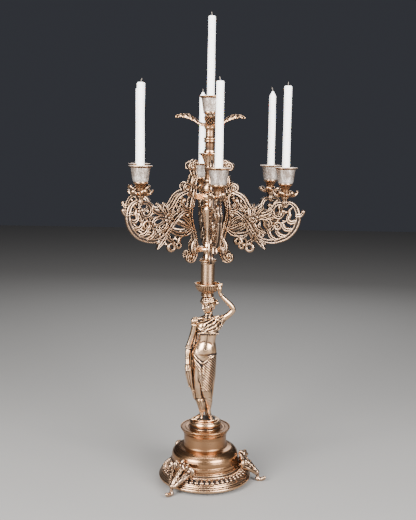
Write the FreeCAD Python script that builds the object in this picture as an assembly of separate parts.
"""A seven-light tabletop candelabra in cast, spun and turned brass.

Three scroll feet carry a round base. A standing draped figure rises from it with a bowl on her head,
and the column in the bowl holds a turned stem with six openwork scroll arms. Each arm ends in a leaf pan
and a candle cup, and a seventh cup stands on a four-leaf pan at the top. Every cup holds a candle that
lifts out.

Millimetres, +Z up, origin on the stand's axis at the level of the table. The front is towards -Y.
Heights are worked out upwards from the table, each piece from the one that it stands on.
"""

import FreeCAD
import Part
import math
import os

V = FreeCAD.Vector
UP = V(0, 0, 1)
ORIGIN = V(0, 0, 0)

# ---------------------------------------------------------------- driving dimensions
# Base
RIM_R = 115.0  # outer bead of the base
RIM_BOTTOM = 8.0  # gap between the table and the bead
RIM_H = 33.0  # bead to the ledge that carries the bell
RIM_WALL = 5.0
BELL_R = 83.0
BELL_WALL = 2.2
BELL_SKIRT = 25.0  # stepped skirt and straight side below the dome
BELL_DOME = 26.0  # height of the rounded dome
NECK_R = 53.0
NECK_H = 36.0
DISH_R = 62.5
DISH_H = 9.0
PLINTH_R = 39.5
PLINTH_H = 21.0
FOOT_R = RIM_R + 41.5  # axis to the tip of a toe
FOOT_TOP = 76.0
FOOT_W = 18.0
FEET = 3
FOOT_AZIMUTH = -36.0  # first foot, from the front towards +X
# Figure and bowl
FIGURE_H = 313.0
HEAD_RING_R = 16.5
HEAD_RING_H = 7.5
BOWL_R = 31.6
BOWL_H = 25.0
BOWL_WALL = 2.5
BOWL_FLOOR = 7.0
# Stem
COLUMN_R = 16.7
COLUMN_WALL = 2.5
COLUMN_H = 70.0
COLLAR_R = 21.5
COLLAR_H = 12.0
HUB_LOWER_H = 34.0
BALUSTER_R = 20.5
TRUMPET_R = 26.0
TRUMPET_H = 35.0
KNOP_R = 21.5
KNOP_H = 60.0
UPPER_STEM_H = 62.0
ROD_R = 4.0
# Arms
ARMS = 6
ARM_R = 192.0  # stand's axis to a cup's axis
ARM_T = 10.0  # thickness across the arm's plane
ARM_AZIMUTH = 6.0  # first arm, from the front towards +X
ARM_SCREW_R = 2.0
# Cups, pans and candles
CANDLE_R = 8.75
CANDLE_L = 208.0
CANDLE_PLAY = 1.2  # radial clearance of a candle in its cup
SOCKET_DEPTH = 24.0
WICK_R = 0.9
WICK_OUT = 9.0
WICK_IN = 12.0
CUP_BODY_R = 22.0
CUP_RIM_R = 28.0
CUP_NECK_R = 9.0
CUP_NECK_H = 25.0
CUP_BODY_H = 38.0
PAN_R = 29.0
PAN_H = 14.0
PAN_PLATE = 5.0
TOP_PAN_R = 82.0
TOP_PAN_LEAF_W = 30.0
TOP_PAN_PLATE = 8.5
STUD_R = 2.5
# Fits
ROD_FIT = 0.3  # radial clearance of parts threaded on a rod
SCREW_FIT = 0.3  # radial clearance of a screw in a through hole
THREAD_FIT = 0.05  # radial clearance between a thread's two plain cylinders

# ---------------------------------------------------------------- heights of the stack
LEDGE_Z = RIM_BOTTOM + RIM_H
DOME_Z = LEDGE_Z + BELL_SKIRT
NECK_Z = DOME_Z + BELL_DOME
DISH_Z = NECK_Z + NECK_H
PLINTH_Z = DISH_Z + DISH_H - 4.0  # the plinth stands in the dish's recess
FIGURE_Z = PLINTH_Z + PLINTH_H
HEAD_RING_Z = FIGURE_Z + FIGURE_H
BOWL_Z = HEAD_RING_Z + HEAD_RING_H
COLUMN_Z = BOWL_Z + BOWL_FLOOR
COLLAR_Z = COLUMN_Z + COLUMN_H
HUB_LOWER_Z = COLLAR_Z + COLLAR_H
ARM_K = ARM_R / 192.0  # the arm is one pattern, made larger or smaller as a whole
ARM_Z = HUB_LOWER_Z + 21.0  # level of the arms' lower pads
UPPER_PAD_Z = ARM_Z + 127.0 * ARM_K
CUP_SEAT_Z = ARM_Z + 133.0 * ARM_K
BALUSTER_Z = HUB_LOWER_Z + HUB_LOWER_H
HUB_UPPER_H = 16.0
HUB_UPPER_Z = UPPER_PAD_Z - HUB_UPPER_H / 2
KNOP_Z = HUB_UPPER_Z + HUB_UPPER_H
TRUMPET_Z = KNOP_Z + KNOP_H
UPPER_STEM_Z = TRUMPET_Z + TRUMPET_H
TOP_PAN_Z = UPPER_STEM_Z + UPPER_STEM_H
TOP_CUP_Z = TOP_PAN_Z + TOP_PAN_PLATE
CUP_H = CUP_NECK_H + CUP_BODY_H
ROD_BITE = 12.0  # length of thread in the figure's head and in the top cup

HUB_R = 24.0
LOWER_PAD_R = 33.0 * ARM_K
UPPER_PAD_R = 40.0 * ARM_K
PAD_GAP = 0.1
LUG_W = 10.0
LUG_H = 12.0
BORE_R = ROD_R + ROD_FIT


# ---------------------------------------------------------------- helpers
def turned(*steps):
    """Solid of revolution about Z. Each step is (r, z), or ((r, z), (r, z)) for an arc's middle and end."""
    edges = []
    here = V(steps[0][0], 0, steps[0][1])
    for step in steps[1:] + (steps[0],):
        curved = isinstance(step[0], tuple)
        end = V(step[1][0], 0, step[1][1]) if curved else V(step[0], 0, step[1])
        if (end - here).Length > 1e-6:
            if curved:
                middle = V(step[0][0], 0, step[0][1])
                edges.append(Part.Arc(here, middle, end).toShape())
            else:
                edges.append(Part.LineSegment(here, end).toShape())
        here = end
    face = Part.Face(Part.Wire(edges))
    solid = face.revolve(ORIGIN, UP, 360)
    if solid.Volume < 0:
        solid.reverse()
    return solid


def rod(radius, z0, z1, x=0.0, y=0.0):
    return Part.makeCylinder(radius, z1 - z0, V(x, y, z0))


def radial_rod(radius, r0, r1, z):
    """Cylinder that lies along +X."""
    return Part.makeCylinder(radius, r1 - r0, V(r0, 0, z), V(1, 0, 0))


def to_azimuth(shape, azimuth):
    """Turns a shape made along +X so that it points at an azimuth from the front (-Y) towards +X."""
    turned_shape = shape.copy()
    turned_shape.rotate(ORIGIN, UP, azimuth - 90.0)
    return turned_shape


def fused(shapes):
    whole = shapes[0]
    if len(shapes) > 1:
        whole = whole.multiFuse(shapes[1:])
    return whole.removeSplitter()


def spiral(centre, r0, r1, a0, a1):
    """Points along a spiral about centre, from radius r0 at angle a0 to r1 at a1, in degrees."""
    count = max(3, int(abs(a1 - a0) / 30) + 1)
    points = []
    for i in range(count):
        t = i / (count - 1)
        angle = math.radians(a0 + (a1 - a0) * t)
        radius = r0 + (r1 - r0) * t
        points.append((centre[0] + radius * math.cos(angle), centre[1] + radius * math.sin(angle)))
    return points


def ribbon(points, widths, thickness):
    """Flat bar in the XZ plane along a smooth line, with its width read from a few values along it."""
    line = Part.BSplineCurve()
    line.interpolate([V(x, 0, z) for x, z in points])
    count = 2 * len(points) + 1
    first, last = line.FirstParameter, line.LastParameter
    sides = ([], [])
    for i in range(count):
        t = i / (count - 1)
        u = first + (last - first) * t
        place = line.value(u)
        along = line.tangent(u)[0]
        across = V(-along.z, 0, along.x)
        slot = t * (len(widths) - 1)
        k = min(int(slot), len(widths) - 2)
        half = (widths[k] + (widths[k + 1] - widths[k]) * (slot - k)) / 2
        sides[0].append(place + across * half)
        sides[1].append(place - across * half)
    left, right = Part.BSplineCurve(), Part.BSplineCurve()
    left.interpolate(sides[0])
    right.interpolate(sides[1])
    ends = [Part.LineSegment(sides[0][0], sides[1][0]), Part.LineSegment(sides[0][-1], sides[1][-1])]
    edges = [left.toShape(), right.toShape()] + [end.toShape() for end in ends]
    face = Part.Face(Part.Wire(Part.__sortEdges__(edges)))
    face.translate(V(0, -thickness / 2, 0))
    return face.extrude(V(0, thickness, 0))


def disc(centre, radius, thickness, hole=0.0):
    """Round plate in the XZ plane, with a hole if wanted."""
    start = V(centre[0], -thickness / 2, centre[1])
    plate = Part.makeCylinder(radius, thickness, start, V(0, 1, 0))
    if hole:
        plate = plate.cut(Part.makeCylinder(hole, thickness, start, V(0, 1, 0)))
    return plate


# ---------------------------------------------------------------- base
RIM_TOP_R = RIM_R - 23.5  # top of the sloping frieze band
RIM_FOOT_R = RIM_R - 8.0  # bottom of the band
FOOT_SCREW_R = 2.5
FOOT_SCREW_AT = (RIM_TOP_R + RIM_FOOT_R) / 2
BOSS_R = 6.0
BOSS_Z = RIM_BOTTOM + 8.0
BAR_T = 5.0
BAR_W = 24.0


def rim_outline_z(r):
    """Height of the rim's sloping band at a radius."""
    share = (r - RIM_TOP_R) / (RIM_FOOT_R - RIM_TOP_R)
    return LEDGE_Z - 5.0 - share * (RIM_H - 21.0)


def rim_ring():
    top, low = LEDGE_Z - 5.0, rim_outline_z(RIM_FOOT_R)
    ledge_in = BELL_R - BELL_WALL - 3.0
    return turned(
        (ledge_in, top - 4.0),
        (ledge_in, LEDGE_Z),
        (RIM_TOP_R - 3.0, LEDGE_Z),
        (RIM_TOP_R - 3.0, LEDGE_Z - 3.5),
        (RIM_TOP_R, top),
        (RIM_FOOT_R, low),
        (RIM_R - 5.5, low - 1.0),
        (RIM_R - 5.5, RIM_BOTTOM + 7.0),
        ((RIM_R, RIM_BOTTOM + 3.5), (RIM_R - 4.0, RIM_BOTTOM)),
        (RIM_R - 11.0, RIM_BOTTOM),
        (RIM_R - 11.0, RIM_BOTTOM + 6.0),
        (RIM_FOOT_R - 2.0, low - RIM_WALL),
        (RIM_TOP_R - 2.0, top - RIM_WALL),
    )


def base_rim():
    ring = rim_ring()
    top, low = LEDGE_Z - 5.0, rim_outline_z(RIM_FOOT_R)
    cover = turned((0, 0), (0, top), (RIM_TOP_R, top), (RIM_FOOT_R, low), (RIM_FOOT_R, 0))
    for azimuth in foot_azimuths():
        boss = to_azimuth(rod(BOSS_R, BOSS_Z, LEDGE_Z, FOOT_SCREW_AT), azimuth)
        ring = ring.fuse(boss.common(cover))
    for azimuth in foot_azimuths():
        ring = ring.cut(to_azimuth(rod(FOOT_SCREW_R + SCREW_FIT, 0, LEDGE_Z, FOOT_SCREW_AT), azimuth))
    return ring


def base_bell():
    out, wall = BELL_R, BELL_WALL
    skirt = LEDGE_Z + BELL_SKIRT * 0.6
    shoulder_r = NECK_R + 4.0
    diagonal = math.sqrt(0.5)
    dome_mid = (shoulder_r + (out - shoulder_r) * diagonal, DOME_Z + (BELL_DOME - 4.0) * diagonal)
    dome_in = (dome_mid[0] - wall * diagonal, dome_mid[1] - wall * diagonal)
    lip = DISH_Z - 3.0
    return turned(
        (out + 3.5, LEDGE_Z),
        (out + 3.5, LEDGE_Z + 3.0),
        (out + 1.5, LEDGE_Z + 4.5),
        (out + 2.0, skirt - 3.0),
        (out, skirt),
        (out, DOME_Z),
        (dome_mid, (shoulder_r, NECK_Z - 4.0)),
        ((NECK_R + 1.2, NECK_Z - 2.8), (NECK_R, NECK_Z)),
        (NECK_R, lip - 12.0),
        ((NECK_R + 1.2, lip - 4.0), (NECK_R + 4.5, lip + 1.0)),
        (NECK_R + 4.5, DISH_Z),
        (NECK_R - 18.0, DISH_Z),
        (NECK_R - 18.0, DISH_Z - wall),
        (NECK_R - wall, DISH_Z - wall),
        (NECK_R - wall, NECK_Z - 1.0),
        (shoulder_r - 1.0, NECK_Z - 4.0 - wall),
        (dome_in, (out - wall, DOME_Z)),
        (out - wall, LEDGE_Z),
    )


def base_dish():
    top = DISH_Z + DISH_H
    floor = top - 4.0
    well_r = PLINTH_R + 4.0
    return turned(
        (BORE_R, DISH_Z),
        (DISH_R - 6.0, DISH_Z),
        ((DISH_R - 1.2, DISH_Z + 3.0), (DISH_R, top - 1.5)),
        ((DISH_R - 1.2, top), (DISH_R - 2.5, top - 1.0)),
        (DISH_R - 4.5, top - 2.2),
        (well_r, top - 2.2),
        (well_r, floor),
        (BORE_R, floor),
    )


def cross_bar():
    """Flat bar that spans the rim's underside and takes the pull of the tie rod."""
    length = 2 * RIM_R
    bar = Part.makeBox(length, BAR_W, BAR_T, V(-length / 2, -BAR_W / 2, bar_z()))
    end_block = Part.makeBox(12.0, BAR_W, 9.0, V(RIM_R - 23.0, -BAR_W / 2, bar_z()))
    bar = bar.fuse(end_block)
    end_block.rotate(ORIGIN, UP, 180)
    bar = bar.fuse(end_block)
    bar = bar.common(rod(RIM_R - 11.0, 0, LEDGE_Z))
    bar.rotate(ORIGIN, UP, FOOT_AZIMUTH)
    bar = bar.cut(rod(BORE_R, 0, LEDGE_Z)).cut(rim_ring())
    return max(bar.Solids, key=lambda solid: solid.Volume).removeSplitter()


def bar_z():
    return RIM_BOTTOM + 8.0


def base_tie_rod():
    return rod(ROD_R, bar_z() - 9.0 + 1.0, FIGURE_Z - 4.0)


def hex_prism(across_flats, z0, height):
    radius = across_flats / math.sqrt(3)
    corners = []
    for i in range(7):
        angle = math.radians(60 * i)
        corners.append(V(radius * math.cos(angle), radius * math.sin(angle), z0))
    return Part.Face(Part.makePolygon(corners)).extrude(V(0, 0, height))


def base_nut():
    """Nut and its washer under the cross bar, two solids."""
    hole = rod(ROD_R + THREAD_FIT, 0, LEDGE_Z)
    washer = rod(10.0, bar_z() - 1.5, bar_z()).cut(rod(BORE_R, 0, LEDGE_Z))
    nut = hex_prism(13.0, bar_z() - 7.5, 6.0).cut(hole)
    return Part.makeCompound([washer, nut])


def foot_azimuths():
    return [FOOT_AZIMUTH + i * 360.0 / FEET for i in range(FEET)]


def foot(azimuth):
    """Cast scroll foot: a pierced leaf body on the rim, three curled lobes, and a pointed toe."""
    span = FOOT_R - RIM_TOP_R
    r0 = RIM_TOP_R
    h = FOOT_TOP
    body = [
        (r0 - 9.0, 0.60 * h),
        (r0 + 0.10 * span, 0.56 * h),
        (r0 + 0.40 * span, 0.47 * h),
        (r0 + 0.62 * span, 0.28 * h),
    ]
    ankle = body[-1]
    leg = [ankle, (r0 + 0.715 * span, 0.16 * h), (r0 + 0.76 * span, 0.055 * h)]
    toe = [leg[-1], (r0 + 0.87 * span, 0.055 * h), (FOOT_R - 2.5, 0.105 * h)]
    upper = ribbon(body, [14, 13, 11, 8], FOOT_W)
    lower_line = [(r0 + 2.0, 0.46 * h), (r0 + 0.22 * span, 0.385 * h), (r0 + 0.42 * span, 0.315 * h), ankle]
    lower = ribbon(lower_line, [7, 6, 6, 7], FOOT_W)
    shin = ribbon(leg, [8.5, 7, 10.0], 10.0)
    toe_bar = ribbon(toe, [10.0, 9.5, 5.5], 11.0)
    spike = ribbon([(r0 - 1.0, 0.62 * h), (r0 - 6.0, 0.78 * h), (r0 - 3.5, h)], [12, 10, 3], 9.0)
    lobes = []
    for side in (-1, 1):
        lobe = disc((r0 - 3.0, 0.64 * h), 9.0, 10.0, 3.0)
        lobe.rotate(V(r0 + 14.0, 0, 0.6 * h), UP, side * 62.0)
        lobes.append(lobe)
        arm = Part.makeCylinder(4.5, 22.0, V(r0 + 10.0, 0, 0.55 * h), V(-0.55, side, 0.12))
        lobes.append(arm)
    pad = rod(BOSS_R + 1.0, 0.2 * h, 0.55 * h, FOOT_SCREW_AT)
    keep_out = turned(
        (0, 0),
        (0, FOOT_TOP + 30.0),
        (BELL_R + 1.0, FOOT_TOP + 30.0),
        (BELL_R + 1.0, LEDGE_Z + BELL_SKIRT),
        (BELL_R + 4.0, LEDGE_Z + 6.0),
        (BELL_R + 4.0, LEDGE_Z),
        (RIM_TOP_R - 2.5, LEDGE_Z),
        (RIM_TOP_R, LEDGE_Z - 5.0),
        (RIM_FOOT_R, rim_outline_z(RIM_FOOT_R)),
        (RIM_R - 4.0, rim_outline_z(RIM_FOOT_R)),
        (RIM_R + 1.0, RIM_BOTTOM + 8.0),
        (RIM_R + 1.0, 0),
    )
    ground = Part.makeBox(400, 80, 20, V(0, -40, -20))
    body_solid = fused([upper, lower, shin, toe_bar, spike, pad] + lobes)
    body_solid = body_solid.cut(keep_out).cut(ground)
    body_solid = body_solid.cut(rod(FOOT_SCREW_R + THREAD_FIT, 0, 0.58 * h, FOOT_SCREW_AT))
    body_solid = max(body_solid.Solids, key=lambda s: s.Volume)
    return to_azimuth(body_solid, azimuth)


def foot_screws():
    screws = []
    for azimuth in foot_azimuths():
        screw = rod(FOOT_SCREW_R, BOSS_Z, 0.56 * FOOT_TOP, FOOT_SCREW_AT)
        screw = screw.fuse(rod(4.6, BOSS_Z - 3.0, BOSS_Z, FOOT_SCREW_AT))
        screws.append(to_azimuth(screw, azimuth))
    return Part.makeCompound(screws)


def figure_plinth():
    top = FIGURE_Z
    return turned(
        (ROD_R + THREAD_FIT, PLINTH_Z),
        (PLINTH_R - 1.5, PLINTH_Z),
        (PLINTH_R - 1.5, PLINTH_Z + 4.0),
        (PLINTH_R - 3.0, PLINTH_Z + 5.5),
        ((PLINTH_R + 0.5, PLINTH_Z + 0.62 * PLINTH_H), (PLINTH_R - 3.0, top - 1.0)),
        (PLINTH_R - 5.0, top),
        (0, top),
        (0, top - 4.0),
        (ROD_R + THREAD_FIT, top - 4.0),
    )


# ---------------------------------------------------------------- figure
PEG_R = 3.0
PEG_L = 6.0
FIGURE_PEGS = ((-17.0, -6.0), (14.0, 3.0))


def oval(x, y, z, rx, ry):
    """Closed level outline."""
    if rx >= ry:
        curve = Part.Ellipse(V(x, y, z), rx, ry)
        return Part.Wire(curve.toShape())
    curve = Part.Ellipse(V(x, y, z), ry, rx)
    wire = Part.Wire(curve.toShape())
    wire.rotate(V(x, y, z), UP, 90)
    return wire


def level_loft(sections):
    """Solid through level ovals (x, y, z, rx, ry), with z as a share of the figure's height."""
    wires = [oval(x, y, FIGURE_Z + z * FIGURE_H, rx, ry) for x, y, z, rx, ry in sections]
    return Part.makeLoft(wires, True)


def limb(points):
    """Round tapering solid through points (x, y, z, r), with z as a share of the figure's height."""
    places = [V(x, y, FIGURE_Z + z * FIGURE_H) for x, y, z, r in points]
    wires = []
    for i, place in enumerate(places):
        before = places[max(i - 1, 0)]
        after = places[min(i + 1, len(places) - 1)]
        circle = Part.Circle(place, after - before, points[i][3])
        wires.append(Part.Wire(circle.toShape()))
    return Part.makeLoft(wires, True)


def figure():
    """Standing draped figure, simplified to its masses, one casting."""
    head_top = 1.0
    socle = level_loft([(0, 0, 0.0, 30, 25), (0, 0, 0.006, 30, 25), (0, 0, 0.014, 27, 22)])
    torso = level_loft([
        (-1, 0, 0.45, 26, 18),
        (-1, 0, 0.53, 27, 20),
        (0, 0, 0.60, 20, 15),
        (1, 0, 0.65, 18, 13.5),
        (1, -1, 0.71, 22, 15),
        (1, -2, 0.77, 28, 18),
        (1, 0, 0.82, 28, 13),
        (0, 0, 0.855, 16, 10),
        (0, 0, 0.875, 9, 8.5),
    ])
    neck = level_loft([(0, 0, 0.84, 9, 8.5), (-1, -1, 0.90, 8.5, 8.5)])
    head = level_loft([
        (-4, -4, 0.865, 5, 6),
        (-3, -3, 0.885, 10.5, 11),
        (-1, -1, 0.925, 15, 16),
        (0, 0, 0.96, 15, 16),
        (0, 0, 0.985, 13, 13.5),
        (0, 0, head_top, 11, 11),
    ])
    bun = limb([(8, 6, 0.94, 8), (14, 9, 0.94, 9), (20, 11, 0.93, 8), (23, 12, 0.925, 4)])
    robe = level_loft([
        (1, 0, 0.58, 22, 17),
        (1, 0, 0.50, 26, 20),
        (4, 0, 0.40, 23, 18),
        (6, 1, 0.26, 17, 15),
        (8, 4, 0.12, 13, 12),
        (9, 6, 0.01, 13, 12),
    ])
    free_leg = limb([(-13, -3, 0.47, 14), (-19, -9, 0.26, 9.5), (-19, -3, 0.15, 8), (-18, -1, 0.02, 6)])
    free_foot = limb([(-17, 1, 0.025, 6.5), (-22, -9, 0.025, 6), (-28, -17, 0.022, 5)])
    other_foot = limb([(12, 2, 0.025, 6.5), (14, -10, 0.025, 6), (16, -19, 0.022, 5)])
    hanging_arm = limb([
        (-22, 0, 0.83, 10),
        (-32, 0, 0.78, 9),
        (-39, -1, 0.68, 7.5),
        (-44, -4, 0.63, 7),
        (-44, -10, 0.55, 6),
    ])
    fist = limb([(-44, -9, 0.57, 6.5), (-44, -11, 0.50, 8.5), (-42, -10, 0.45, 7.5)])
    held_cloth = level_loft([
        (-43, -9, 0.51, 8, 8),
        (-38, -6, 0.40, 9, 9),
        (-31, -2, 0.30, 8, 8),
        (-27, 0, 0.22, 6, 6),
    ])
    back_cloth = level_loft([
        (-6, 10, 0.48, 20, 9),
        (-16, 9, 0.38, 20, 7),
        (-12, 9, 0.27, 20, 6),
        (-8, 9, 0.16, 14, 6),
    ])
    raised_arm = limb([(22, 1, 0.81, 10), (38, 1, 0.825, 9.5), (56, -3, 0.87, 8.5), (63, -4, 0.905, 7.5)])
    forearm = limb([(62, -2, 0.87, 7), (60, -4, 0.915, 7.5), (45, -6, 0.97, 6), (31, -9, 1.025, 5)])
    hand = limb([(34, -8, 1.01, 5), (31, -9, 1.045, 5), (31, -7, 1.075, 4)])
    body = [torso, neck, head, bun, robe, free_leg, free_foot, other_foot, socle]
    cloths = [held_cloth, back_cloth]
    whole = fused(body + cloths + [hanging_arm, fist, raised_arm, forearm, hand])
    above_bowl = BOWL_R + 0.3
    keep_out = turned(
        (0, HEAD_RING_Z),
        (HEAD_RING_R + 0.5, HEAD_RING_Z),
        (HEAD_RING_R + 0.5, BOWL_Z),
        ((BOWL_R - 4.0, BOWL_Z + 8.0), (above_bowl, BOWL_Z + BOWL_H)),
        (above_bowl, BOWL_Z + BOWL_H + 20.0),
        (0, BOWL_Z + BOWL_H + 20.0),
    )
    whole = whole.cut(keep_out)
    floor = Part.makeBox(200, 200, 30, V(-100, -100, FIGURE_Z - 30))
    whole = whole.cut(floor)
    whole = max(whole.Solids, key=lambda solid: solid.Volume)
    for x, y in FIGURE_PEGS:
        whole = whole.fuse(rod(PEG_R, FIGURE_Z - PEG_L, FIGURE_Z + 2.0, x, y))
    whole = whole.cut(rod(ROD_R + THREAD_FIT, HEAD_RING_Z - ROD_BITE - 1.0, HEAD_RING_Z + 1.0))
    return whole


def plinth_with_holes():
    plinth = figure_plinth()
    for x, y in FIGURE_PEGS:
        plinth = plinth.cut(rod(PEG_R + THREAD_FIT, FIGURE_Z - PEG_L - 1.0, FIGURE_Z, x, y))
    return plinth


# ---------------------------------------------------------------- stem
def head_ring():
    z, r, h = HEAD_RING_Z, HEAD_RING_R, HEAD_RING_H
    return turned(
        (BORE_R, z),
        (r - 2.5, z),
        ((r, z + h * 0.28), (r - 1.5, z + h * 0.5)),
        ((r, z + h * 0.75), (r - 2.5, z + h)),
        (BORE_R, z + h),
    )


def head_bowl():
    z, out, h = BOWL_Z, BOWL_R, BOWL_H
    foot_r = 14.0
    floor = z + BOWL_FLOOR
    spigot = COLUMN_R - COLUMN_WALL - 0.2
    return turned(
        (BORE_R, z),
        (foot_r, z),
        (foot_r, z + 1.5),
        ((out - 5.0, z + h * 0.42), (out - 1.5, z + h - 3.0)),
        (out, z + h - 2.5),
        ((out + 0.6, z + h - 1.2), (out, z + h)),
        (out - BOWL_WALL, z + h),
        ((out - 8.0, z + h * 0.5), (COLUMN_R + 2.0, floor)),
        (spigot, floor),
        (spigot, floor + 4.0),
        (BORE_R, floor + 4.0),
    )


def column_tube():
    z, r = COLUMN_Z, COLUMN_R
    top = z + COLUMN_H
    return turned(
        (r - COLUMN_WALL, z),
        (r + 1.2, z),
        (r + 1.2, z + 3.0),
        (r, z + 4.5),
        (r, top - 4.0),
        (r + 1.0, top - 2.5),
        (r + 1.0, top),
        (r - COLUMN_WALL, top),
    )


def column_collar():
    z, r, h = COLLAR_Z, COLLAR_R, COLLAR_H
    spigot = COLUMN_R - COLUMN_WALL - 0.2
    return turned(
        (BORE_R, z - 4.0),
        (spigot, z - 4.0),
        (spigot, z),
        (COLUMN_R + 1.0, z),
        (r - 2.0, z + h * 0.15),
        ((r, z + h * 0.4), (r - 2.0, z + h * 0.65)),
        (13.5, z + h * 0.8),
        (13.5, z + h),
        (BORE_R, z + h),
    )


def lugs(level, pad_r):
    """Six radial arms of a hub, with their tapped screw holes left open at the outer ends."""
    bars, holes = [], []
    for azimuth in arm_azimuths():
        bar = Part.makeBox(pad_r - 8.0, LUG_W, LUG_H, V(8.0, -LUG_W / 2, level - LUG_H / 2))
        hole = radial_rod(ARM_SCREW_R + THREAD_FIT, pad_r - 12.0, pad_r + 1.0, level)
        bars.append(to_azimuth(bar, azimuth))
        holes.append(to_azimuth(hole, azimuth))
    return bars, holes


def hub(body, level, pad_r):
    bars, holes = lugs(level, pad_r)
    whole = body.multiFuse(bars)
    for hole in holes:
        whole = whole.cut(hole)
    return whole.cut(rod(BORE_R, level - 60.0, level + 60.0)).removeSplitter()


def lower_hub():
    z, h = HUB_LOWER_Z, HUB_LOWER_H
    body = turned(
        (0, z),
        (13.5, z),
        ((12.0, z + h * 0.2), (12.5, z + h * 0.42)),
        (HUB_R - 3.0, z + h * 0.45),
        ((HUB_R, ARM_Z), (HUB_R - 3.0, z + h * 0.78)),
        (14.0, z + h * 0.82),
        (12.5, z + h),
        (0, z + h),
    )
    return hub(body, ARM_Z, LOWER_PAD_R)


def stem_baluster():
    z, top, r = BALUSTER_Z, HUB_UPPER_Z, BALUSTER_R
    h = top - z
    return turned(
        (BORE_R, z),
        (12.5, z),
        (13.5, z + h * 0.03),
        (9.0, z + h * 0.08),
        ((10.0, z + h * 0.35), (r - 4.5, z + h * 0.62)),
        ((r, z + h * 0.79), (r * 0.62, z + h * 0.87)),
        (r * 0.74, z + h * 0.89),
        (r * 0.74, z + h * 0.93),
        (r * 0.6, z + h * 0.95),
        (r * 0.8, z + h * 0.97),
        (r * 0.8, top),
        (BORE_R, top),
    )


def upper_hub():
    z, h = HUB_UPPER_Z, HUB_UPPER_H
    body = turned((0, z), (17.5, z), ((20.5, z + h / 2), (17.5, z + h)), (0, z + h))
    return hub(body, UPPER_PAD_Z, UPPER_PAD_R)


def stem_knop():
    z, h, r = KNOP_Z, KNOP_H, KNOP_R
    return turned(
        (BORE_R, z),
        (15.0, z),
        ((r, z + h * 0.22), (13.0, z + h * 0.45)),
        (15.0, z + h * 0.47),
        (15.0, z + h * 0.54),
        (11.0, z + h * 0.58),
        ((9.5, z + h * 0.76), (12.0, z + h * 0.94)),
        (13.0, z + h * 0.96),
        (13.0, z + h),
        (BORE_R, z + h),
    )


def stem_trumpet():
    z, h, r = TRUMPET_Z, TRUMPET_H, TRUMPET_R
    return turned(
        (BORE_R, z),
        (11.0, z),
        ((15.0, z + h * 0.5), (r - 1.5, z + h * 0.92)),
        ((r, z + h * 0.96), (r - 1.0, z + h)),
        (r - 3.0, z + h),
        (r - 5.5, z + h - 4.0),
        (16.0, z + h - 5.0),
        (16.0, z + h),
        (BORE_R, z + h),
    )


def upper_stem():
    z, h = UPPER_STEM_Z, UPPER_STEM_H
    return turned(
        (BORE_R, z),
        (14.0, z),
        ((15.0, z + h * 0.06), (14.0, z + h * 0.12)),
        (11.5, z + h * 0.16),
        (11.5, z + h * 0.40),
        ((16.7, z + h * 0.455), (14.5, z + h * 0.50)),
        ((16.7, z + h * 0.545), (11.0, z + h * 0.60)),
        (10.2, z + h * 0.66),
        (10.2, z + h * 0.90),
        (14.0, z + h * 0.96),
        (14.0, z + h),
        (BORE_R, z + h),
    )


def upper_tie_rod():
    return rod(ROD_R, HEAD_RING_Z - ROD_BITE, TOP_CUP_Z + ROD_BITE)


# ---------------------------------------------------------------- arms
def arm_azimuths():
    return [ARM_AZIMUTH + i * 360.0 / ARMS for i in range(ARMS)]


def flat_group(bars, discs, thickness):
    """Bars and discs of one thickness as a single plate."""
    solids = [ribbon(points, widths, thickness) for points, widths in bars]
    solids += [disc(centre, radius, thickness, hole) for centre, radius, hole in discs]
    return fused(solids)


def arm_pattern():
    """One arm in the XZ plane at its normal size. x runs outwards from the axis, and z up from the pads."""
    crescent = [(193, 117), (206, 121), (222, 107), (227, 82), (219, 61)]
    crescent += [(203, 43), (184, 33), (162, 27), (141, 28)]
    sweep = [(143, 28), (125, 37), (112, 53), (96, 75), (78, 89), (64, 93), (56, 87)]
    spine = [(46, 133), (52, 105), (54, 78), (47, 54), (41, 34)]
    spine += [(37, 12), (37, -12), (48, -28), (62, -22)]
    main = [
        (crescent, [5, 9, 10, 9, 8, 9]),
        (sweep, [9, 8, 8, 7, 4]),
        (spine, [8, 7, 8, 7, 7, 5]),
        ([(45, 128), (43, 147), (43, 180), (44, 200)], [8, 7, 7, 8]),
    ]
    plate = flat_group(main, [((58, -18), 6.0, 0)], ARM_T)
    contour = [(60, 137), (76, 135), (92, 125), (104, 107), (116, 92), (131, 90), (150, 95), (163, 100)]
    curls = [
        (contour, [6, 7, 8, 7, 7]),
        (spiral((64, 113), 24, 8, 100, 420), [6, 6, 5, 4]),
        (spiral((180, 99), 21, 9, 45, 390), [7, 7, 6, 5]),
        (spiral((67, 149), 13, 5, 230, -60), [6, 6, 5]),
        ([(47, 53), (66, 39), (90, 40), (113, 51)], [6, 8, 8, 6]),
        ([(120, 40), (118, 26), (110, 14)], [7, 7, 6]),
        ([(92, 42), (92, 28), (88, 15)], [6, 5, 5]),
        ([(114, 80), (130, 74), (150, 74), (172, 67)], [9, 8, 7, 6]),
        ([(122, 78), (137, 62), (142, 46), (137, 31)], [7, 8, 8, 7]),
    ]
    rings = [
        ((66, 116), 6.5, 0),
        ((188, 98), 5.5, 0),
        ((177, 68), 10.0, 4.0),
        ((108, 10), 8.5, 4.0),
        ((88, 13), 5.5, 0),
        ((53, 196), 9.0, 3.5),
        ((42, 206), 7.0, 0),
    ]
    scrolls = flat_group(curls, rings, ARM_T * 0.8)
    leaves = [
        ([(222, 92), (233, 92), (243, 103)], [12, 10, 2]),
        ([(210, 50), (199, 59), (195, 70)], [12, 9, 2]),
        ([(186, 34), (180, 44), (178, 60)], [10, 8, 5]),
        ([(114, 88), (126, 99), (139, 104)], [9, 7, 2]),
        ([(126, 40), (131, 24), (145, 10)], [10, 9, 2]),
    ]
    foliage = flat_group(leaves, [((114, 80), 11.0, 0)], ARM_T * 1.4)
    return fused([plate, scrolls, foliage])


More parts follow.
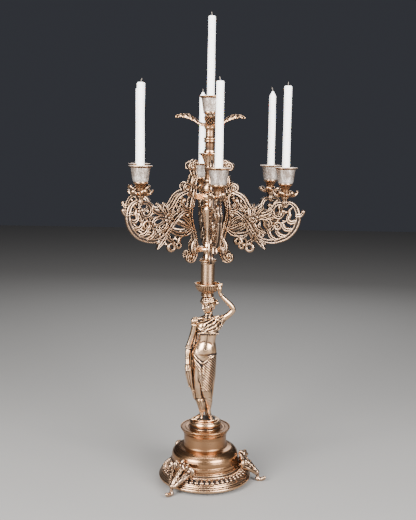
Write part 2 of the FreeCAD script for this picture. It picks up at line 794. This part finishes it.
def arm():
    """Cast openwork scroll arm with its two pads and the boss that carries a cup."""
    whole = arm_pattern()
    if abs(ARM_K - 1.0) > 1e-9:
        matrix = FreeCAD.Matrix()
        matrix.scale(ARM_K, 1.0, ARM_K)
        whole = whole.transformGeometry(matrix)
    whole.translate(V(0, 0, ARM_Z))
    seat = CUP_SEAT_Z
    boss = turned(
        (0, seat - 20.0),
        (3.0, seat - 20.0),
        ((6.5, seat - 15.0), (6.0, seat - 9.0)),
        ((7.0, seat - 5.0), (10.0, seat - 1.5)),
        (10.0, seat),
        (0, seat),
    )
    boss.translate(V(ARM_R, 0, 0))
    stem = rod(5.0, seat - 22.0, seat - 10.0, ARM_R)
    pads = []
    holes = []
    for level, start in ((ARM_Z, LOWER_PAD_R), (UPPER_PAD_Z, UPPER_PAD_R)):
        first = start + PAD_GAP
        pads.append(Part.makeBox(8.0, ARM_T, LUG_H, V(first, -ARM_T / 2, level - LUG_H / 2)))
        holes.append(radial_rod(ARM_SCREW_R + SCREW_FIT, first - 10.0, first + 14.0, level))
        holes.append(radial_rod(3.9, first + 8.0, first + 16.0, level))
        holes.append(Part.makeBox(20.0, 40.0, LUG_H + 2.0, V(first - 20.0, -20.0, level - LUG_H / 2 - 1.0)))
    whole = fused([whole, boss, stem] + pads)
    for hole in holes:
        whole = whole.cut(hole)
    whole = whole.cut(rod(STUD_R + THREAD_FIT, seat - 13.0, seat + 1.0, ARM_R))
    above = Part.makeBox(60.0, 60.0, 60.0, V(ARM_R - 30.0, -30.0, seat))
    whole = whole.cut(above)
    return max(whole.Solids, key=lambda solid: solid.Volume)


def hub_screws():
    screws = []
    for azimuth in arm_azimuths():
        for level, start in ((ARM_Z, LOWER_PAD_R), (UPPER_PAD_Z, UPPER_PAD_R)):
            seat = start + PAD_GAP + 8.0
            screw = radial_rod(ARM_SCREW_R, start - 10.0, seat, level)
            screw = screw.fuse(radial_rod(3.6, seat, seat + 2.6, level))
            screws.append(to_azimuth(screw, azimuth))
    return Part.makeCompound(screws)


# ---------------------------------------------------------------- pans, cups and candles
def leaf_pan():
    """Scalloped six-leaf pan around Z, underside at zero."""
    dish = turned(
        (STUD_R + SCREW_FIT, 0),
        (11.0, 0),
        ((20.0, 1.5), (PAN_R - 1.5, PAN_H - 2.0)),
        (PAN_R + 1.0, PAN_H - 2.5),
        (PAN_R + 1.0, PAN_H - 0.8),
        ((PAN_R - 0.5, PAN_H), (PAN_R - 2.5, PAN_H - 1.0)),
        ((19.0, 4.6), (12.0, PAN_PLATE)),
        (STUD_R + SCREW_FIT, PAN_PLATE),
    )
    for i in range(6):
        notch = rod(6.0, -1.0, PAN_H + 1.0, PAN_R + 2.5)
        notch.rotate(ORIGIN, UP, 60.0 * i + 30.0)
        dish = dish.cut(notch)
    return dish


def top_pan():
    """Four long drooping leaves around Z, underside at zero."""
    centre = turned((0, 0), (15.0, 0), ((19.0, 3.0), (16.0, TOP_PAN_PLATE)), (0, TOP_PAN_PLATE))
    tip = TOP_PAN_R
    line = [(7, 4), (0.30 * tip, 8), (0.48 * tip, 20), (0.66 * tip, 28), (0.84 * tip, 27), (tip - 1.0, 22)]
    half = TOP_PAN_LEAF_W / 2
    outline = [
        Part.Arc(V(0, -half * 0.6, 0), V(0.55 * tip, -half, 0), V(tip, 0, 0)).toShape(),
        Part.Arc(V(tip, 0, 0), V(0.55 * tip, half, 0), V(0, half * 0.6, 0)).toShape(),
        Part.LineSegment(V(0, half * 0.6, 0), V(0, -half * 0.6, 0)).toShape(),
    ]
    prism = Part.Face(Part.Wire(outline)).extrude(V(0, 0, 60.0))
    leaf = ribbon(line, [6, 4.5, 4, 4, 3.5, 2.5], TOP_PAN_LEAF_W + 4.0).common(prism)
    leaves = []
    for i in range(4):
        leaves.append(to_azimuth(leaf, 90.0 * i))
    whole = fused([centre] + leaves)
    whole = whole.cut(rod(CUP_NECK_R + 4.0, TOP_PAN_PLATE, 40.0))
    return whole.cut(rod(BORE_R, -1.0, 40.0))


def cup(thread_r):
    """Candle cup around Z, seat at zero, tapped from below for a stud or the tie rod."""
    neck, body, h = CUP_NECK_H, CUP_BODY_R, CUP_H
    bore = CANDLE_R + CANDLE_PLAY
    return turned(
        (thread_r, 0),
        (CUP_NECK_R + 2.0, 0),
        (CUP_NECK_R + 2.0, 3.0),
        (CUP_NECK_R, 5.0),
        ((CUP_NECK_R, neck * 0.45), (CUP_NECK_R + 5.0, neck - 3.0)),
        (CUP_NECK_R + 8.0, neck - 1.5),
        (CUP_NECK_R + 8.0, neck + 1.0),
        (body - 5.0, neck + 2.5),
        (body, h - 5.0),
        (body + 1.0, h - 4.0),
        (CUP_RIM_R - 1.0, h - 2.2),
        ((CUP_RIM_R, h - 1.0), (CUP_RIM_R - 1.0, h)),
        (bore + 3.0, h - 1.5),
        (bore, h - 3.0),
        (bore, h - SOCKET_DEPTH),
        (0, h - SOCKET_DEPTH),
        (0, ROD_BITE + 1.0),
        (thread_r, ROD_BITE + 1.0),
    )


def candle():
    """Wax around Z, foot at zero, bored for the wick."""
    r, length = CANDLE_R, CANDLE_L
    return turned(
        (0, 0),
        (r - 0.6, 0),
        (r, 0.6),
        (r, length - 3.0),
        ((r - 0.6, length - 1.2), (r - 2.4, length)),
        (3.0, length),
        (WICK_R + 0.02, length - 0.8),
        (WICK_R + 0.02, length - WICK_IN - 0.5),
        (0, length - WICK_IN - 0.5),
    )


def wick():
    top = CANDLE_L + WICK_OUT
    return rod(WICK_R, CANDLE_L - WICK_IN - 0.5, top)


def cup_studs():
    studs = []
    for azimuth in arm_azimuths():
        stud = rod(STUD_R, CUP_SEAT_Z - 12.0, CUP_SEAT_Z + PAN_PLATE + ROD_BITE - 1.0, ARM_R)
        studs.append(to_azimuth(stud, azimuth))
    return Part.makeCompound(studs)


def placed(shape, azimuth, r, z):
    """Copy of a shape made around Z, moved out to a radius and height, then turned to an azimuth."""
    moved = shape.copy()
    moved.translate(V(r, 0, z))
    return to_azimuth(moved, azimuth)


# ---------------------------------------------------------------- write the parts
def save(name, shape):
    shape.exportStep("parts/" + name + ".step")
    print(name, round(shape.Volume), shape.isValid(), len(shape.Solids))


os.makedirs("parts", exist_ok=True)

save("base_rim", base_rim())
save("base_bell", base_bell())
save("base_dish", base_dish())
save("base_bar", cross_bar())
save("base_tie_rod", base_tie_rod())
save("base_nut", base_nut())
for number, foot_azimuth in enumerate(foot_azimuths()):
    save("foot_%d" % (number + 1), foot(foot_azimuth))
save("foot_screws", foot_screws())
save("figure_plinth", plinth_with_holes())
save("figure", figure())
save("head_ring", head_ring())
save("head_bowl", head_bowl())
save("column_tube", column_tube())
save("column_collar", column_collar())
save("lower_hub", lower_hub())
save("stem_baluster", stem_baluster())
save("upper_hub", upper_hub())
save("stem_knop", stem_knop())
save("stem_trumpet", stem_trumpet())
save("upper_stem", upper_stem())
save("upper_tie_rod", upper_tie_rod())
top_pan_shape = top_pan()
top_pan_shape.translate(V(0, 0, TOP_PAN_Z))
save("top_pan", top_pan_shape)
save("hub_screws", hub_screws())
save("cup_studs", cup_studs())

arm_shape = arm()
pan_shape = leaf_pan()
arm_cup_shape = cup(STUD_R + THREAD_FIT)
top_cup_shape = cup(ROD_R + THREAD_FIT)
candle_shape = candle()
wick_shape = wick()
CANDLE_UP = CUP_H - SOCKET_DEPTH
for number, arm_azimuth in enumerate(arm_azimuths()):
    place = number + 1
    cup_z = CUP_SEAT_Z + PAN_PLATE
    save("arm_%d" % place, to_azimuth(arm_shape, arm_azimuth))
    save("pan_%d" % place, placed(pan_shape, arm_azimuth, ARM_R, CUP_SEAT_Z))
    save("cup_%d" % place, placed(arm_cup_shape, arm_azimuth, ARM_R, cup_z))
    save("candle_wax_%d" % place, placed(candle_shape, arm_azimuth, ARM_R, cup_z + CANDLE_UP))
    save("wick_%d" % place, placed(wick_shape, arm_azimuth, ARM_R, cup_z + CANDLE_UP))
save("cup_7", placed(top_cup_shape, 0.0, 0.0, TOP_CUP_Z))
save("candle_wax_7", placed(candle_shape, 0.0, 0.0, TOP_CUP_Z + CANDLE_UP))
save("wick_7", placed(wick_shape, 0.0, 0.0, TOP_CUP_Z + CANDLE_UP))
